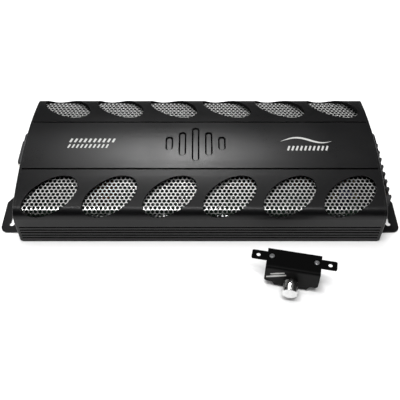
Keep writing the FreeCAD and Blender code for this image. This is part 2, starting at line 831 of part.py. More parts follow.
def pot_body(x, y, z, side):
    """A board-mounted rotary control without its shaft."""
    x0, x1 = sorted((x, x - side * 9))
    body = box(x0, x1, y - 4.9, y + 4.9, board_top, z + 5)
    bush = rod(4.0, 1.6, (x, y, z), (side, 0, 0))
    whole = body.fuse(bush)
    return whole.cut(rod(shaft_radius + running_gap, 9.2, (x + side * 3, y, z), (-side, 0, 0)))


def control_pots():
    """The three rotary controls' bodies behind the left panel."""
    return [pot_body(-sink_half + 2.0, y, control_z, -1) for y in knob_y]


def small_knob(y):
    """A ribbed knob with a pointer line and its shaft, in one turning piece."""
    x0 = -half_length - 1.0
    cap = rod(knob_radius, knob_reach - 1, (x0, y, control_z), (-1, 0, 0))
    rim = [e for e in cap.Edges if len(e.Vertexes) == 1 and e.Vertexes[0].X < x0 - 2]
    cap = cap.makeFillet(0.8, rim)
    cuts = []
    for index in range(16):
        angle = index * math.pi / 8 + math.pi / 16
        centre = (x0 + 0.5, y + (knob_radius + 0.35) * math.cos(angle),
                  control_z + (knob_radius + 0.35) * math.sin(angle))
        cuts.append(rod(0.7, knob_reach - 2.5, centre, (-1, 0, 0)))
    top = x0 - knob_reach + 1
    cuts.append(box(top - 1, top + 0.5, y - 0.4, y + 0.4, control_z + 0.8, control_z + knob_radius + 1))
    shaft = rod(shaft_radius, 9.0, (x0 - 1, y, control_z), (1, 0, 0))
    return cap.cut(cuts).fuse(shaft)


def switch_bodies():
    """Slide switches' metal bodies behind the left panel."""
    bodies = []
    for y in switch_y:
        body = box(-sink_half + 0.2, -sink_half + 6, y - 6, y + 6, board_top, control_z + 3.5)
        slot = box(-sink_half - 1, -sink_half + 3.5, y - 3.4, y + 3.4, control_z - 1.8, control_z + 1.8)
        bodies.append(body.cut(slot))
    return bodies


def switch_slider(y):
    """The lever of one slide switch, at one end of its travel."""
    start = y - switch_travel / 2
    foot = box(-sink_half + 0.6, -sink_half + 3.1, start - 1.6, start + 1.6, control_z - 1.4, control_z + 1.4)
    lever = round_box(-half_length - 3, -sink_half + 1, start - 1.3, start + 1.3, control_z - 1.2,
                      control_z + 1.2, 0.3, V(1, 0, 0))
    return foot.fuse(lever)


def led(y):
    """A small round indicator with a domed end."""
    stem = rod(led_radius, panel_thick + 3, (-half_length - 0.3, y, control_z), (1, 0, 0))
    dome = Part.makeSphere(led_radius, V(-half_length - 0.3, y, control_z))
    base = box(-sink_half + 2, -sink_half + 4, y - 1.8, y + 1.8, board_top, control_z + 1.8)
    return stem.multiFuse([dome, base])


def left_cutouts():
    """Openings in the left panel for its sockets and controls."""
    x0 = -half_length - 1
    x1 = -sink_half + 1
    cuts = [round_box(x0, x1, rca_y - rca_half_y - 0.2, rca_y + rca_half_y + 0.2, board_top + 0.1,
                      rca_high + 0.2, 5.1, V(1, 0, 0)),
            box(x0, x1, jack_y - jack_width / 2 - 0.2, jack_y + jack_width / 2 + 0.2, board_top - 0.1,
                board_top + jack_height + 0.2)]
    for y in knob_y:
        cuts.append(rod(4.3, panel_thick + 2, (x0, y, control_z), (1, 0, 0)))
    for y in switch_y:
        cuts.append(box(x0, x1, y - 3.3, y + 3.3, control_z - 1.7, control_z + 1.7))
    for y in led_y:
        cuts.append(rod(led_radius + 0.1, panel_thick + 2, (x0, y, control_z), (1, 0, 0)))
    return cuts


# ---------------------------------------------------------------- level control
remote_half = remote_width / 2
remote_front = -remote_depth / 2
remote_back = remote_depth / 2


def place_remote(shape):
    """Turn and move a piece from the level control's own frame to where it stands."""
    placed = shape.copy()
    placed.rotate(V(0, 0, 0), V(0, 0, 1), remote_turn)
    placed.translate(V(remote_x, remote_y, 0))
    return placed


def remote_cover():
    """Black steel cover: top with two ears, rounded edge, front with a centre tab."""
    outer = round_box(-remote_half, remote_half, remote_front, remote_back, 0, remote_height, 3,
                      V(1, 0, 0))
    inner = round_box(-remote_half - 1, remote_half + 1, remote_front + remote_wall, remote_back + 9,
                      -9, remote_height - remote_wall, 3 - remote_wall, V(1, 0, 0))
    bent = outer.cut(inner)
    bent = bent.cut(box(-remote_half - 1, remote_half + 1, remote_back - 3.05, remote_back + 9, -1,
                        remote_height + 1))
    deck = box(-remote_half, remote_half, remote_back - 3.1, remote_back, remote_height - remote_wall,
               remote_height)
    trims = []
    for side in (-1, 1):
        outline = [(remote_half + 1, -1), (remote_tab_half - 4.5, -1), (remote_tab_half - 3.5, 0),
                   (remote_tab_half, remote_panel_low), (remote_half + 1, remote_panel_low)]
        trims.append(polygon([(side * x, remote_front - 1, z) for x, z in outline], (0, 1, 0), 3))
    ears = []
    for side in (-1, 1):
        x0, x1 = sorted((side * (remote_half - 1), side * (remote_half + remote_ear)))
        plate = round_box(x0, x1, remote_hole_y - remote_ear_depth / 2, remote_hole_y + remote_ear_depth / 2,
                          remote_height - remote_wall, remote_height, 2.0, V(0, 0, 1))
        hole = rod(remote_hole_radius, 4, (side * remote_hole_x, remote_hole_y, remote_height - 2), (0, 0, 1))
        ears.append(plate.cut(hole))
    whole = bent.multiFuse([deck] + ears).removeSplitter()
    whole = whole.cut(trims)
    knob_hole = rod(4.6, 4, (0, remote_front - 1, remote_knob_z), (0, 1, 0))
    screw_holes = [rod(screw_radius + 0.1, 4, (x, remote_hole_y, remote_height - 3), (0, 0, 1))
                   for x in remote_screw_x]
    whole = whole.cut([knob_hole] + screw_holes)
    corners = [e for e in whole.Edges if abs(e.tangentAt(e.FirstParameter).y) > 0.99
               and all(abs(abs(v.X) - remote_half) < 0.01 and abs(v.Z - remote_panel_low) < 0.01 for v in e.Vertexes)]
    return place_remote(whole.makeFillet(3.5, corners))


remote_hole_x = remote_half + remote_ear - remote_hole_inset
remote_screw_x = (remote_screw_inset - remote_half, remote_half - remote_screw_inset)
chassis_half = remote_half - 0.1
chassis_front = remote_front + remote_wall + 0.1
chassis_top = remote_height - remote_wall - 0.1
remote_board_top = 3.0


def tray_block(inset, top):
    """The tray's side outline with its raised front, drawn out across the width."""
    front = chassis_front + inset
    back = remote_back - part_gap - inset
    step_y = front + tray_cut_back
    step_z = remote_panel_low + 0.7 + inset
    outline = [(front, step_z), (front, top - 2), (front + 2, top), (back, top), (back, inset),
               (step_y, inset), (step_y, step_z)]
    half = chassis_half - inset
    return polygon([(-half, y, z) for y, z in outline], (1, 0, 0), 2 * half)


def remote_chassis():
    """Bright open-topped tray under the cover, cut back at the front's lower edge."""
    tray = tray_block(0, chassis_top).cut(tray_block(1, chassis_top + 9))
    tabs = [box(x - 3, x + 3, remote_hole_y - 3, remote_back - 0.8, chassis_top - 1, chassis_top)
            for x in remote_screw_x]
    tray = tray.multiFuse(tabs)
    cuts = [rod(tap_radius, 6, (x, remote_hole_y, chassis_top - 3), (0, 0, 1)) for x in remote_screw_x]
    cuts.append(rod(4.6, 4, (0, chassis_front - 1, remote_knob_z), (0, 1, 0)))
    cuts.append(box(-jack_width / 2 - 0.2, jack_width / 2 + 0.2, remote_back - 3, remote_back + 1,
                    remote_board_top - 0.1, remote_board_top + jack_height + 0.3))
    return place_remote(tray.cut(cuts))


def remote_board():
    """The small board behind the knob."""
    half = chassis_half - 1 - part_gap
    front = chassis_front + remote_panel_low + 2.5
    board = box(-half, half, front, remote_back - 1.6, remote_board_top - board_thick, remote_board_top)
    return place_remote(board)


def remote_socket():
    """The cable socket in the back of the level control."""
    socket = phone_socket(0, 1, 0, 0, jack_deep)
    socket.rotate(V(0, 0, 0), V(0, 0, 1), -90)
    socket.translate(V(0, remote_back, remote_board_top))
    return place_remote(socket)


def remote_pot():
    """The level control's rotary body and threaded bush."""
    case = rod(8.0, 6.5, (0, chassis_front + 1.1, remote_knob_z + 2), (0, 1, 0))
    case = case.common(box(-9, 9, remote_front, remote_back, remote_panel_low + 2, remote_height))
    bush = rod(3.5, 6.0, (0, chassis_front + 2, remote_knob_z), (0, -1, 0))
    whole = case.fuse(bush)
    return place_remote(whole.cut(rod(shaft_radius + running_gap, 30, (0, remote_front - 9, remote_knob_z),
                                      (0, 1, 0)).cut(box(-9, 9, chassis_front + 5.2, 30, 0, 30))))


def remote_nut():
    """The hexagonal nut and washer that clamp the bush to the front."""
    y = remote_front - 0.05
    points = [(5.2 * math.cos(a * math.pi / 3), y, remote_knob_z + 5.2 * math.sin(a * math.pi / 3))
              for a in range(6)]
    nut = polygon(points, (0, -1, 0), 2.0)
    return place_remote(nut.cut(rod(3.55, 9, (0, y + 2, remote_knob_z), (0, -1, 0))))


def remote_knob():
    """The turned metal knob with its shaft and a pointer groove."""
    y = remote_front - 2.6
    cap = rod(remote_knob_radius, remote_knob_length, (0, y, remote_knob_z), (0, -1, 0))
    end_y = y - remote_knob_length
    rim = [e for e in cap.Edges if len(e.Vertexes) == 1 and e.Vertexes[0].Y < y - 2]
    cap = cap.makeFillet(0.8, rim)
    cap = cap.cut(rod(5.6, 2.0, (0, y, remote_knob_z), (0, -1, 0)))
    shaft = rod(shaft_radius, remote_knob_length + 5, (0, end_y + 4, remote_knob_z), (0, 1, 0))
    groove = box(-0.5, 0.5, end_y - 1, y - 2, remote_knob_z + remote_knob_radius - 0.5,
                 remote_knob_z + remote_knob_radius + 1)
    return place_remote(cap.fuse(shaft).cut(groove))


def remote_screws():
    """Two pan-head screws that hold the cover to the tray."""
    screws = []
    for x in remote_screw_x:
        head = rod(2.8, 1.5, (x, remote_hole_y, remote_height + 0.02), (0, 0, 1))
        head = head.makeFillet(0.7, [e for e in head.Edges if len(e.Vertexes) == 1
                                     and e.Vertexes[0].Z > remote_height + 1])
        shank = rod(tap_radius - 0.02, 4.5, (x, remote_hole_y, remote_height - 4.4), (0, 0, 1))
        slot = box(x - 1.7, x + 1.7, remote_hole_y - 0.3, remote_hole_y + 0.3, remote_height + 0.9, remote_height + 3)
        screws.append(place_remote(head.fuse(shank).cut(slot)))
    return screws


# ---------------------------------------------------------------- write the nodes
os.makedirs("parts", exist_ok=True)
sheet = front_sheet()
save("heat_sink", heat_sink())
save("front_mesh", sheet)
save("rear_mesh", mirror_y(sheet))
save("bottom_plate", bottom_plate())
save("left_end_panel", end_panel(-1, left_cutouts()))
save("right_end_panel", end_panel(1, right_cutouts()))
save("left_panel_screws", panel_screws(-1))
save("right_panel_screws", panel_screws(1))
save("bottom_screws", bottom_screws())
save("main_board", main_board())
save("board_standoffs", standoffs())
save("board_screws", board_screws())
save("toroid_cores", [ring_core(*ring[:5]) for ring in toroids])
save("toroid_windings", [loop for ring in toroids for loop in ring_winding(*ring)])
save("inductor_cores", [ring_core(*ring[:5]) for ring in inductors])
save("inductor_windings", [loop for ring in inductors for loop in ring_winding(*ring)])
save("rail_capacitors", capacitors([(x, y) for x in (-66, -38, -10, 18) for y in (-16, 16)], 11.0, room_height))
save("input_capacitors", capacitors([(block_x0 - 23, y) for y in (-54, 30, 47)], 7.5, room_height - 8))
save("front_transistors", transistors(-1))
save("rear_transistors", transistors(1))
save("front_thermal_pad", thermal_pad(-1))
save("rear_thermal_pad", thermal_pad(1))
save("clamp_bars", clamp_bars())
save("clamp_screws", clamp_screws())
save("control_chips", control_chips())
save("power_busbars", busbars())
save("terminal_block", terminal_block())
save("terminal_clamps", terminal_clamps())
save("terminal_screws", terminal_screws())
save("fuse_holder", fuse_holder())
save("front_fuse", blade_fuse(fuse_places()[0]))
save("rear_fuse", blade_fuse(fuse_places()[1]))
save("rca_housing", rca_housing())
save("socket_hood", socket_hood())
save("rca_barrels", rca_barrels())
save("rca_cores", rca_cores())
save("control_socket", phone_socket(-half_length, 1, jack_y, board_top, jack_deep))
save("control_pots", control_pots())
save("gain_knob", small_knob(knob_y[0]))
save("filter_knob", small_knob(knob_y[1]))
save("boost_knob", small_knob(knob_y[2]))
save("switch_bodies", switch_bodies())
save("mode_switch_slider", switch_slider(switch_y[0]))
save("phase_switch_slider", switch_slider(switch_y[1]))
save("power_led", led(led_y[0]))
save("protect_led", led(led_y[1]))
save("remote_cover", remote_cover())
save("remote_chassis", remote_chassis())
save("remote_board", remote_board())
save("remote_socket", remote_socket())
save("remote_pot", remote_pot())
save("remote_nut", remote_nut())
save("remote_knob", remote_knob())
save("remote_screws", remote_screws())
print(len(nodes), "nodes,", sum(nodes.values()), "solids")
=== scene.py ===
import math

import bmesh
import bpy
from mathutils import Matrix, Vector


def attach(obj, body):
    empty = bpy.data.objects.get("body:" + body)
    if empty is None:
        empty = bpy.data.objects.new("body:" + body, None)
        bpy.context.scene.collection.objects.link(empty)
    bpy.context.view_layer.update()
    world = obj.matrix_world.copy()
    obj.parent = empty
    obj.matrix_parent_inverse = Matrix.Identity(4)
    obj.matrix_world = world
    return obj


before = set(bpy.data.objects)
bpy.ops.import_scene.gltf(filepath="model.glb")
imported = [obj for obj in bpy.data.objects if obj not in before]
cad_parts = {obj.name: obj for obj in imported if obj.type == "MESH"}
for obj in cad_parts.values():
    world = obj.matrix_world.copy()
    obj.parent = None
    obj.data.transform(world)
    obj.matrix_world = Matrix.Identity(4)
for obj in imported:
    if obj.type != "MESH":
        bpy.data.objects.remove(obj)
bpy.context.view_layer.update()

MM = 0.001

# Sizes of the model that the materials and printed marks follow, in millimetres.
BODY_HEIGHT = 60.5
HALF_LENGTH, HALF_DEPTH = 200.0, 94.0
CROWN_RADIUS, SHOULDER_RADIUS = 334.0, 12.0
CROWN_Z = BODY_HEIGHT - CROWN_RADIUS
CORNER_Y = HALF_DEPTH - SHOULDER_RADIUS
CORNER_Z = CROWN_Z + math.sqrt((CROWN_RADIUS - SHOULDER_RADIUS) ** 2 - CORNER_Y ** 2)
EMBLEM_X, EMBLEM_PITCH, EMBLEM_BAR, EMBLEM_DEEP = -5.0, 15.0, 8.5, 1.5
EMBLEM_HEIGHTS = (22.0, 38.0, 54.0, 38.0, 22.0)
EMBLEM_HALF_Y = 30.0
CONTROL_YS = (38.0, 51.5, 65.0)
CONTROL_Z = 19.0
LEVEL_X, LEVEL_Y, LEVEL_TURN = 96.6, -144.0, math.radians(-11.0)
LEVEL_FRONT = -12.0
LEVEL_KNOB_Z = 12.6

# Paint on the body, and the other colours used below.
COAT_COLOR, COAT_SPECK = (0.0010, 0.0010, 0.0012), (0.0032, 0.0032, 0.0036)
BARE_EDGE = (0.055, 0.053, 0.05)
# Near-black painted shade for the heat sink's grooves, seams and recesses.
RECESS_SHADE = (0.0002, 0.0002, 0.0002)
# Painted shade for the walls of the holes in the perforated sheet.
HOLE_SHADE = (0.02, 0.02, 0.02)
BOARD_BLACK = (0.003, 0.006, 0.004)
FLOOR_PALE = (0.86, 0.86, 0.86)


# ---------------------------------------------------------------- materials

class Graph:
    """A material's node graph, with short calls for the nodes used here."""

    def __init__(self, name, color, roughness, metallic=0.0, ior=1.45, **sockets):
        self.material = bpy.data.materials.new(name)
        self.material.use_nodes = True
        self.material.diffuse_color = (*color, 1.0)
        self.tree = self.material.node_tree
        self.shader = self.tree.nodes["Principled BSDF"]
        values = {"Base Color": (*color, 1.0), "Roughness": roughness, "Metallic": metallic, "IOR": ior}
        values.update(sockets)
        for socket, value in values.items():
            self.shader.inputs[socket].default_value = value
        self.place = self.add("ShaderNodeTexCoord").outputs["Object"]

    def add(self, kind):
        return self.tree.nodes.new(kind)

    def link(self, source, target):
        self.tree.links.new(source, target)

    def stretched(self, scale):
        node = self.add("ShaderNodeMapping")
        node.inputs["Scale"].default_value = scale
        self.link(self.place, node.inputs["Vector"])
        return node.outputs["Vector"]

    def noise(self, scale, detail=2.0, roughness=0.5, vector=None):
        node = self.add("ShaderNodeTexNoise")
        node.inputs["Scale"].default_value = scale
        node.inputs["Detail"].default_value = detail
        node.inputs["Roughness"].default_value = roughness
        self.link(vector or self.place, node.inputs["Vector"])
        return node.outputs["Fac"]

    def cells(self, scale, vector=None):
        node = self.add("ShaderNodeTexVoronoi")
        node.inputs["Scale"].default_value = scale
        self.link(vector or self.place, node.inputs["Vector"])
        return node.outputs["Distance"]

    def spread(self, value, low, high, start=0.0, stop=1.0):
        """The value's range from low to high, spread over start to stop and held at the ends."""
        node = self.add("ShaderNodeMapRange")
        for socket, number in zip(("From Min", "From Max", "To Min", "To Max"), (low, high, start, stop)):
            node.inputs[socket].default_value = number
        self.link(value, node.inputs["Value"])
        return node.outputs["Result"]

    def math(self, operation, a, b=None):
        node = self.add("ShaderNodeMath")
        node.operation = operation
        for socket, value in zip(node.inputs, (a, b)):
            if value is None:
                continue
            if isinstance(value, (int, float)):
                socket.default_value = value
            else:
                self.link(value, socket)
        return node.outputs[0]

    def mix(self, factor, a, b):
        node = self.add("ShaderNodeMix")
        node.data_type = "RGBA"
        self.link(factor, node.inputs["Factor"])
        for socket, value in ((node.inputs[6], a), (node.inputs[7], b)):
            if isinstance(value, tuple):
                socket.default_value = (*value, 1.0)
            else:
                self.link(value, socket)
        return node.outputs[2]

    def color(self, value):
        self.link(value, self.shader.inputs["Base Color"])

    def rough(self, value):
        self.link(value, self.shader.inputs["Roughness"])

    def bump(self, height, distance, strength=1.0, edge=None):
        node = self.add("ShaderNodeBump")
        node.inputs["Distance"].default_value = distance
        node.inputs["Strength"].default_value = strength
        self.link(height, node.inputs["Height"])
        if edge:
            self.link(self.soft_edge(edge), node.inputs["Normal"])
        self.link(node.outputs["Normal"], self.shader.inputs["Normal"])

    def soft_edge(self, radius):
        node = self.add("ShaderNodeBevel")
        node.samples = 4
        node.inputs["Radius"].default_value = radius
        return node.outputs["Normal"]

    def edge_mask(self, radius):
        """Near 1 where the surface turns within the radius, and 0 on flat ground."""
        turned = self.add("ShaderNodeVectorMath")
        turned.operation = "DOT_PRODUCT"
        self.link(self.soft_edge(radius), turned.inputs[0])
        self.link(self.add("ShaderNodeNewGeometry").outputs["Normal"], turned.inputs[1])
        return self.spread(turned.outputs["Value"], 0.995, 0.86)


def powder_coat(name, color, speck, roughness=0.33, edge=0.0004, ior=1.35, shade_recesses=False):
    """Fine satin paint, rubbed bare here and there along edges, with painted shade that turns the recesses
    matt black when asked for.
    """
    g = Graph(name, color, roughness, ior=ior)
    grain = g.noise(1500.0, detail=3.0, roughness=0.6)
    cloud = g.noise(18.0, detail=4.0)
    worn = g.math("MULTIPLY", g.edge_mask(0.0005), g.spread(g.noise(160.0, 4.0, 0.7), 0.5, 0.72))
    base = g.mix(g.spread(grain, 0.42, 0.7), color, speck)
    finish = g.mix(worn, base, BARE_EDGE)
    gloss = g.math("ADD", g.spread(grain, 0.3, 0.7, roughness - 0.05, roughness + 0.06),
                   g.spread(cloud, 0.35, 0.65, -0.02, 0.03))
    if shade_recesses:
        # Painted shade: below the outer skin the colour goes near black and the gloss goes matt.
        sunk = g.spread(section_depth(g), 0.0003, 0.0006)
        finish = g.mix(sunk, finish, RECESS_SHADE)
        gloss = g.math("MAXIMUM", gloss, sunk)
    g.color(finish)
    g.rough(gloss)
    g.bump(g.math("ADD", grain, g.cells(900.0)), 0.00004, 0.4, edge)
    return g.material


def section_depth(g):
    """How far a point lies under the heat sink's outer skin, in metres. The emblem's floor counts as skin."""
    split = g.add("ShaderNodeSeparateXYZ")
    g.link(g.place, split.inputs[0])
    y = g.math("ABSOLUTE", split.outputs["Y"])
    z = split.outputs["Z"]

    def length(a, b):
        return g.math("SQRT", g.math("ADD", g.math("MULTIPLY", a, a), g.math("MULTIPLY", b, b)))

    roof = g.math("SUBTRACT", CROWN_RADIUS * MM, length(y, g.math("SUBTRACT", z, CROWN_Z * MM)))
    over = g.math("MAXIMUM", g.math("SUBTRACT", y, CORNER_Y * MM), 0.0)
    above = g.math("MAXIMUM", g.math("SUBTRACT", z, CORNER_Z * MM), 0.0)
    wall = g.math("SUBTRACT", SHOULDER_RADIUS * MM, length(over, above))
    outside = g.math("GREATER_THAN", y, CORNER_Y * MM)
    depth = g.math("ADD", g.math("MULTIPLY", wall, outside),
                   g.math("MULTIPLY", roof, g.math("SUBTRACT", 1.0, outside)))
    near_emblem = g.math("LESS_THAN", y, EMBLEM_HALF_Y * MM)
    deep = g.spread(depth, (EMBLEM_DEEP - 0.3) * MM, (EMBLEM_DEEP - 0.15) * MM)
    bar_floor = g.math("MULTIPLY", near_emblem, deep)
    return g.math("MULTIPLY", depth, g.math("SUBTRACT", 1.0, bar_floor))


def hole_wall_shade(g, light):
    """Painted shade inside the holes of the sheet: walls that face along X, or along the slope of the sheet,
    take a dark colour.
    """
    split = g.add("ShaderNodeSeparateXYZ")
    g.link(g.add("ShaderNodeTexCoord").outputs["Normal"], split.inputs[0])
    spot = g.add("ShaderNodeSeparateXYZ")
    g.link(g.place, spot.inputs[0])
    side = g.math("SIGN", spot.outputs["Y"])
    slope = g.math("MULTIPLY", g.math("MULTIPLY", split.outputs["Y"], split.outputs["Z"]), side)
    across = g.spread(g.math("ABSOLUTE", split.outputs["X"]), 0.15, 0.3)
    along = g.spread(slope, -0.01, -0.04)
    return g.mix(g.math("MAXIMUM", across, along), light, HOLE_SHADE)


def brushed_metal(name, color, roughness=0.28, along=0, depth=0.00002, edge=0.0002, shade_holes=False):
    """Metal with fine streaks along one axis."""
    g = Graph(name, color, roughness, metallic=1.0)
    scale = [1.0, 1.0, 1.0]
    scale[along] = 0.02
    streak = g.noise(2500.0, 2.0, 0.6, g.stretched(scale))
    cloud = g.noise(45.0, 4.0)
    darker = tuple(c * 0.72 for c in color)
    finish = g.mix(g.spread(g.math("ADD", streak, cloud), 0.75, 1.25), color, darker)
    # With holes asked for, painted shade darkens the walls of the holes.
    g.color(hole_wall_shade(g, finish) if shade_holes else finish)
    g.rough(g.math("ADD", g.spread(streak, 0.3, 0.7, roughness - 0.06, roughness + 0.08),
                   g.spread(cloud, 0.35, 0.65, -0.03, 0.04)))
    g.bump(streak, depth, 0.6, edge)
    return g.material


def plated_metal(name, color, roughness):
    """Plating with faint clouds in colour and gloss."""
    g = Graph(name, color, roughness, metallic=1.0)
    cloud = g.noise(220.0, 4.0, 0.6)
    fine = g.noise(3000.0, 2.0)
    g.color(g.mix(g.spread(cloud, 0.4, 0.68), color, tuple(c * 0.78 for c in color)))
    g.rough(g.math("ADD", g.spread(cloud, 0.3, 0.7, roughness - 0.05, roughness + 0.09),
                   g.spread(fine, 0.3, 0.7, -0.02, 0.03)))
    g.bump(fine, 0.00001, 0.5, 0.00015)
    return g.material


def moulded(name, color, roughness=0.45, grain=1200.0, depth=0.00003):
    """Plastic with a fine moulded grain."""
    g = Graph(name, color, roughness, ior=1.47)
    fine = g.noise(grain, 3.0, 0.6)
    cloud = g.noise(60.0, 3.0)
    g.color(g.mix(g.spread(cloud, 0.35, 0.7), color, tuple(c * 1.3 + 0.002 for c in color)))
    g.rough(g.spread(fine, 0.3, 0.7, roughness - 0.06, roughness + 0.08))
    g.bump(fine, depth, 0.6, 0.00025)
    return g.material


def lens(name, color, glow):
    g = Graph(name, color, 0.12, ior=1.5, **{"Transmission Weight": 0.6, "Emission Strength": glow})
    g.shader.inputs["Emission Color"].default_value = (*color, 1.0)
    haze = g.noise(900.0, 2.0)
    g.rough(g.spread(haze, 0.3, 0.7, 0.08, 0.2))
    g.color(g.mix(g.spread(haze, 0.3, 0.7), color, tuple(min(1.0, c * 1.4 + 0.01) for c in color)))
    return g.material


def circuit_board(name):
    g = Graph(name, BOARD_BLACK, 0.35, ior=1.5)
    along = g.spread(g.cells(190.0, vector=g.stretched((0.25, 1.0, 1.0))), 0.42, 0.46)
    weave = g.noise(1600.0, 2.0)
    base = g.mix(along, BOARD_BLACK, (0.006, 0.014, 0.008))
    pads = g.spread(g.cells(130.0), 0.09, 0.07)
    g.color(g.mix(pads, base, (0.55, 0.55, 0.52)))
    g.rough(g.spread(weave, 0.3, 0.7, 0.28, 0.42))
    g.bump(g.math("ADD", along, g.math("MULTIPLY", weave, 0.3)), 0.00003, 0.5)
    return g.material


def wound_wire(name):
    g = Graph(name, (0.48, 0.16, 0.06), 0.3, metallic=1.0)
    turns = g.noise(700.0, 1.0, 0.4, g.stretched((1.0, 1.0, 0.05)))
    g.color(g.mix(g.spread(turns, 0.4, 0.6), (0.3, 0.1, 0.04), (0.1, 0.03, 0.012)))
    g.rough(g.spread(turns, 0.3, 0.7, 0.22, 0.4))
    g.bump(turns, 0.0002, 0.8)
    return g.material


def printed_ink(name, color, roughness=0.5, ior=1.45):
    g = Graph(name, color, roughness, ior=ior)
    mottle = g.noise(1400.0, 3.0, 0.6)
    g.color(g.mix(g.spread(mottle, 0.35, 0.7), color, tuple(c * 0.75 for c in color)))
    g.rough(g.spread(mottle, 0.3, 0.7, roughness - 0.06, roughness + 0.1))
    g.bump(mottle, 0.00001, 0.4)
    return g.material


coat = powder_coat("satin_black_coat", COAT_COLOR, COAT_SPECK)
# The heat sink's coat carries painted shade in its grooves and recesses.
sink_coat = powder_coat("heat_sink_coat", COAT_COLOR, COAT_SPECK, shade_recesses=True)
box_coat = powder_coat("box_black_coat", (0.0005, 0.0005, 0.0005), (0.0014, 0.0014, 0.0014),
                       roughness=0.5, edge=0.0005, ior=1.2)
OWN_COATS = {"heat_sink": sink_coat, "remote_cover": box_coat}
FINISHES = {
    "black_coat": coat,
    "bright_sheet": brushed_metal("perforated_steel", (0.74, 0.74, 0.73), 0.3, depth=0.000006,
                                  shade_holes=True),
    "black_screw": plated_metal("blackened_screw", (0.045, 0.045, 0.048), 0.34),
    "zinc_steel": plated_metal("zinc_plated_steel", (0.66, 0.67, 0.68), 0.28),
    "brass": plated_metal("turned_brass", (0.78, 0.56, 0.24), 0.26),
    "nickel": plated_metal("nickel_plate", (0.72, 0.7, 0.66), 0.18),
    "copper_wire": wound_wire("enamelled_winding"),
    "ferrite": moulded("ferrite", (0.02, 0.019, 0.018), 0.6, grain=1800.0, depth=0.00006),
    "board": circuit_board("circuit_board"),
    "capacitor_sleeve": moulded("shrink_sleeve", (0.012, 0.014, 0.03), 0.28, depth=0.00001),
    "chip": moulded("moulded_epoxy", (0.012, 0.012, 0.012), 0.55, grain=2600.0),
    "thermal_pad": moulded("insulating_pad", (0.35, 0.36, 0.37), 0.65),
    "terminal_plastic": moulded("terminal_plastic", (0.01, 0.01, 0.011), 0.36),
    "fuse_plastic": moulded("fuse_plastic", (0.05, 0.02, 0.012), 0.25, depth=0.00001),
    "white_plastic": moulded("socket_core_plastic", (0.72, 0.72, 0.7), 0.4),
    "knob_plastic": moulded("knob_plastic", (0.012, 0.012, 0.013), 0.4),
    "green_lens": lens("green_lens", (0.05, 0.55, 0.12), 0.25),
    "red_lens": lens("red_lens", (0.55, 0.03, 0.03), 0.05),
    "bright_tray": brushed_metal("folded_tray", (0.7, 0.7, 0.7), 0.3, along=0),
    "turned_metal": brushed_metal("turned_aluminium", (0.8, 0.8, 0.8), 0.22, along=1, edge=0.0004),
}
# Near-black, barely reflecting painted shade for the edges of the emblem's sunk bars.
EMBLEM_SHADE_INK = printed_ink("emblem_shade_paint", (0.0004, 0.0004, 0.0004), 0.8, ior=1.1)
SILVER_INK = printed_ink("silver_ink", (0.46, 0.46, 0.45), 0.4)
WHITE_INK = printed_ink("white_ink", (0.6, 0.6, 0.58), 0.5)

for name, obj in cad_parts.items():
    slot = obj.material_slots[0].material.name.split(".")[0]
    for held in obj.material_slots:
        held.material = OWN_COATS.get(name, FINISHES[slot])


# ---------------------------------------------------------------- printed marks

def on_crown(u, v, h):
    turn = math.asin(v / CROWN_RADIUS)
    out = CROWN_RADIUS + h
    return Vector((u, out * math.sin(turn), CROWN_Z + out * math.cos(turn))) * MM


def in_emblem(u, v, h):
    return on_crown(u, v, h - EMBLEM_DEEP)


def on_left_end(u, v, h):
    return Vector((-HALF_LENGTH - h, u, v)) * MM


def on_level_panel(u, v, h):
    x, y = u, LEVEL_FRONT - h
    c, s = math.cos(LEVEL_TURN), math.sin(LEVEL_TURN)
    return Vector((LEVEL_X + c * x - s * y, LEVEL_Y + s * x + c * y, v)) * MM


def ink(name, strokes, surface, material, body="amplifier", film=0.08, sunk=0.03):
    """Closed ribbons of ink on a surface: each stroke is a list of (u, v, half width)."""
    bm = bmesh.new()
    for stroke in strokes:
        rings = []
        for i, (u, v, half) in enumerate(stroke):
            u0, v0, _ = stroke[max(i - 1, 0)]
            u1, v1, _ = stroke[min(i + 1, len(stroke) - 1)]
            run = math.hypot(u1 - u0, v1 - v0)
            side = ((v0 - v1) / run * half, (u1 - u0) / run * half)
            ring = []
            for across, h in ((-1, -sunk), (1, -sunk), (0.9, film), (-0.9, film)):
                ring.append(bm.verts.new(surface(u + side[0] * across, v + side[1] * across, h)))
            rings.append(ring)
        for a, b in zip(rings, rings[1:]):
            for k in range(4):
                bm.faces.new((a[k], a[(k + 1) % 4], b[(k + 1) % 4], b[k]))
        bm.faces.new(rings[0])
        bm.faces.new(rings[-1][::-1])
    bmesh.ops.recalc_face_normals(bm, faces=bm.faces)
    mesh = bpy.data.meshes.new(name)
    bm.to_mesh(mesh)
    bm.free()
    piece = bpy.data.objects.new(name, mesh)
    bpy.context.scene.collection.objects.link(piece)
    mesh.materials.append(material)
    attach(piece, body)


def slanted_row(left, right, low, high, pitch, half, lean=0.35):
    """Short leaning bars side by side along u."""
    strokes = []
    count = int((right - left) / pitch)
    for i in range(count):
        u = left + (i + 0.5) * pitch
        strokes.append([(u + lean * (v - (low + high) / 2), v, half)
                        for v in (low, (low + high) / 2, high)])
    return strokes


def wave(left, right, level, height, thick, steps=28):
    """A long low curve that tapers at both ends."""
    stroke = []
    for i in range(steps + 1):
        t = i / steps
        swell = math.sin(math.pi * t) ** 0.8
        stroke.append((left + (right - left) * t, level + height * math.sin(math.pi * (2 * t - 0.15)),
                       max(0.12, thick * swell)))
    return stroke


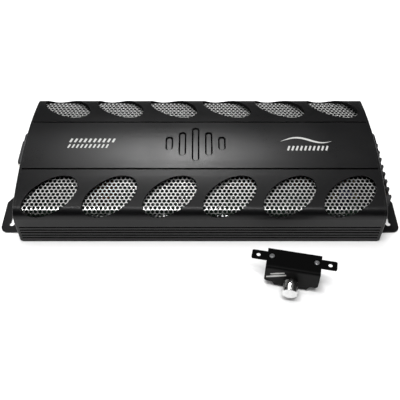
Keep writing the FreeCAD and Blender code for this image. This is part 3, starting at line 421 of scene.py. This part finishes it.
def dial_ticks(u, v, inner, outer, count=11, swing=140.0, half=0.25):
    """Short lines round a dial, spread evenly over its swing."""
    strokes = []
    for i in range(count):
        turn = math.radians(-swing + 2 * swing * i / (count - 1))
        strokes.append([(u + r * math.sin(turn), v + r * math.cos(turn), half) for r in (inner, outer)])
    return strokes


def shortened(path, reach=3.0):
    """The same path with its long runs cut into short ones, so that it follows a curved surface."""
    points = [path[0]]
    for a, b in zip(path, path[1:]):
        count = max(1, math.ceil(math.dist(a[:2], b[:2]) / reach))
        points += [tuple(p + (q - p) * i / count for p, q in zip(a, b)) for i in range(1, count + 1)]
    return points


def bar_outlines(line=1.7, steps=12):
    """Painted shade: closed dark lines just inside each sunk bar of the emblem, along its walls."""
    strokes = []
    for index, height in enumerate(EMBLEM_HEIGHTS):
        x = EMBLEM_X + (index - (len(EMBLEM_HEIGHTS) - 1) / 2) * EMBLEM_PITCH
        radius = EMBLEM_BAR / 2 - line / 2
        straight = height / 2 - EMBLEM_BAR / 2
        loop = []
        for end, start in ((1, 0.0), (-1, math.pi)):
            for i in range(steps + 1):
                turn = start + math.pi * i / steps
                loop.append((x + radius * math.cos(turn), end * straight + radius * math.sin(turn), line / 2))
        loop.append(loop[0])
        strokes.append(shortened(loop))
    return strokes


left_marks = slanted_row(-150.0, -96.0, 1.6, 7.6, 5.4, 1.25)
left_marks += slanted_row(-151.0, -103.0, -7.4, -1.8, 4.8, 1.0)
ink("left_print", left_marks, on_crown, SILVER_INK)
right_marks = [wave(92.0, 150.0, 5.0, 4.2, 1.5)] + slanted_row(98.0, 146.0, -11.5, -4.5, 4.8, 1.1)
ink("right_print", right_marks, on_crown, SILVER_INK)
# Painted shade round the edges of the emblem's sunk bars.
ink("emblem_outline", bar_outlines(), in_emblem, EMBLEM_SHADE_INK)
ink("control_scale", [t for y in CONTROL_YS for t in dial_ticks(y, CONTROL_Z, 5.3, 6.4)],
    on_left_end, WHITE_INK)
ink("level_print", [[(-26.0, 14.5, 1.0), (-17.0, 18.0, 1.7), (-6.0, 22.0, 1.0)],
                    [(-22.0, 20.5, 0.8), (-15.0, 23.0, 1.2), (-8.0, 25.5, 0.8)]],
    on_level_panel, WHITE_INK, "level_control")
ink("level_scale", dial_ticks(0.0, LEVEL_KNOB_Z, 9.3, 10.6, count=2, half=0.45),
    on_level_panel, WHITE_INK, "level_control")


# ---------------------------------------------------------------- floor, lights and camera

def floor():
    """A pale sheet that reaches well past the object, a little under it."""
    bm = bmesh.new()
    bmesh.ops.create_grid(bm, x_segments=4, y_segments=4, size=4.0)
    mesh = bpy.data.meshes.new("floor")
    bm.to_mesh(mesh)
    bm.free()
    piece = bpy.data.objects.new("floor", mesh)
    piece.location.z = -0.0003
    g = Graph("pale_floor", FLOOR_PALE, 0.9, ior=1.2)
    g.color(g.mix(g.spread(g.noise(6.0, 2.0), 0.3, 0.7), FLOOR_PALE, (0.845, 0.845, 0.845)))
    mesh.materials.append(g.material)
    bpy.context.scene.collection.objects.link(piece)


def area_light(name, place, target, size, power, glossy=True):
    """A rectangular light aimed at a target; one that isn't glossy shows in no reflection."""
    lamp = bpy.data.lights.new(name, "AREA")
    lamp.shape = "RECTANGLE"
    lamp.size, lamp.size_y = size
    lamp.energy = power
    piece = bpy.data.objects.new(name, lamp)
    piece.location = place
    piece.rotation_euler = (Vector(target) - Vector(place)).to_track_quat("-Z", "Y").to_euler()
    piece.visible_glossy = glossy
    bpy.context.scene.collection.objects.link(piece)
    return piece


floor()
area_light("overhead", (-0.3, -0.2, 2.6), (0.0, 0.0, 0.0), (2.2, 2.2), 66.0, glossy=False)
rear_light = area_light("rear_softbox", (-0.10, 1.09, 1.44), (-0.02, -0.01, 0.06), (0.42, 0.34), 15.5)
area_light("ridge_light", (-0.10, -0.28, 1.62), (-0.02, -0.09, 0.04), (1.3, 0.16), 11.5)

# A low light from behind that only the rear perforated sheet takes.
sheet_light = area_light("sheet_light", (0.0, 1.4, 0.28), (0.0, 0.08, 0.05), (1.6, 0.5), 2.8)
sheets = bpy.data.collections.new("lit_by_sheet_light")
sheets.objects.link(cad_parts["rear_mesh"])
sheet_light.light_linking.receiver_collection = sheets

# The level control's box stays dark: the rear softbox doesn't reach it, apart from its knob.
spared = bpy.data.collections.new("spared_from_rear_light")
for name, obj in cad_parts.items():
    if name.startswith("remote_") and name != "remote_knob":
        spared.objects.link(obj)
rear_light.light_linking.receiver_collection = spared
for entry in spared.collection_objects:
    entry.light_linking.link_state = "EXCLUDE"

# The studio is brightest overhead and dark near the horizon, in front of a white backdrop.
world = bpy.data.worlds.new("studio")
world.use_nodes = True
sky = world.node_tree
direction = sky.nodes.new("ShaderNodeTexCoord").outputs["Generated"]
split = sky.nodes.new("ShaderNodeSeparateXYZ")
sky.links.new(direction, split.inputs[0])
fade = sky.nodes.new("ShaderNodeMapRange")
for socket, number in (("From Min", 0.6), ("From Max", 1.0), ("To Min", 0.03), ("To Max", 0.4)):
    fade.inputs[socket].default_value = number
sky.links.new(split.outputs["Z"], fade.inputs["Value"])
sky.nodes["Background"].inputs["Color"].default_value = (1.0, 1.0, 1.0, 1.0)
backdrop = sky.nodes.new("ShaderNodeMath")
backdrop.operation = "MAXIMUM"
sky.links.new(fade.outputs["Result"], backdrop.inputs[0])
sky.links.new(sky.nodes.new("ShaderNodeLightPath").outputs["Is Camera Ray"], backdrop.inputs[1])
sky.links.new(backdrop.outputs[0], sky.nodes["Background"].inputs["Strength"])
bpy.context.scene.world = world
bpy.context.scene.view_settings.view_transform = "Standard"

SENSOR, FOCAL_PIXELS, IMAGE_PIXELS = 36.0, 632.0, 400.0
LOOKS_DOWN = 49.2
camera_data = bpy.data.cameras.new("camera")
camera_data.sensor_width = SENSOR
camera_data.lens = FOCAL_PIXELS / IMAGE_PIXELS * SENSOR
camera_data.clip_start = 0.01
camera = bpy.data.objects.new("camera", camera_data)
camera.location = (0.0, -0.5198, 0.5636)
camera.rotation_euler = (math.radians(90.0 - LOOKS_DOWN), 0.0, 0.0)
bpy.context.scene.collection.objects.link(camera)
bpy.context.scene.camera = camera
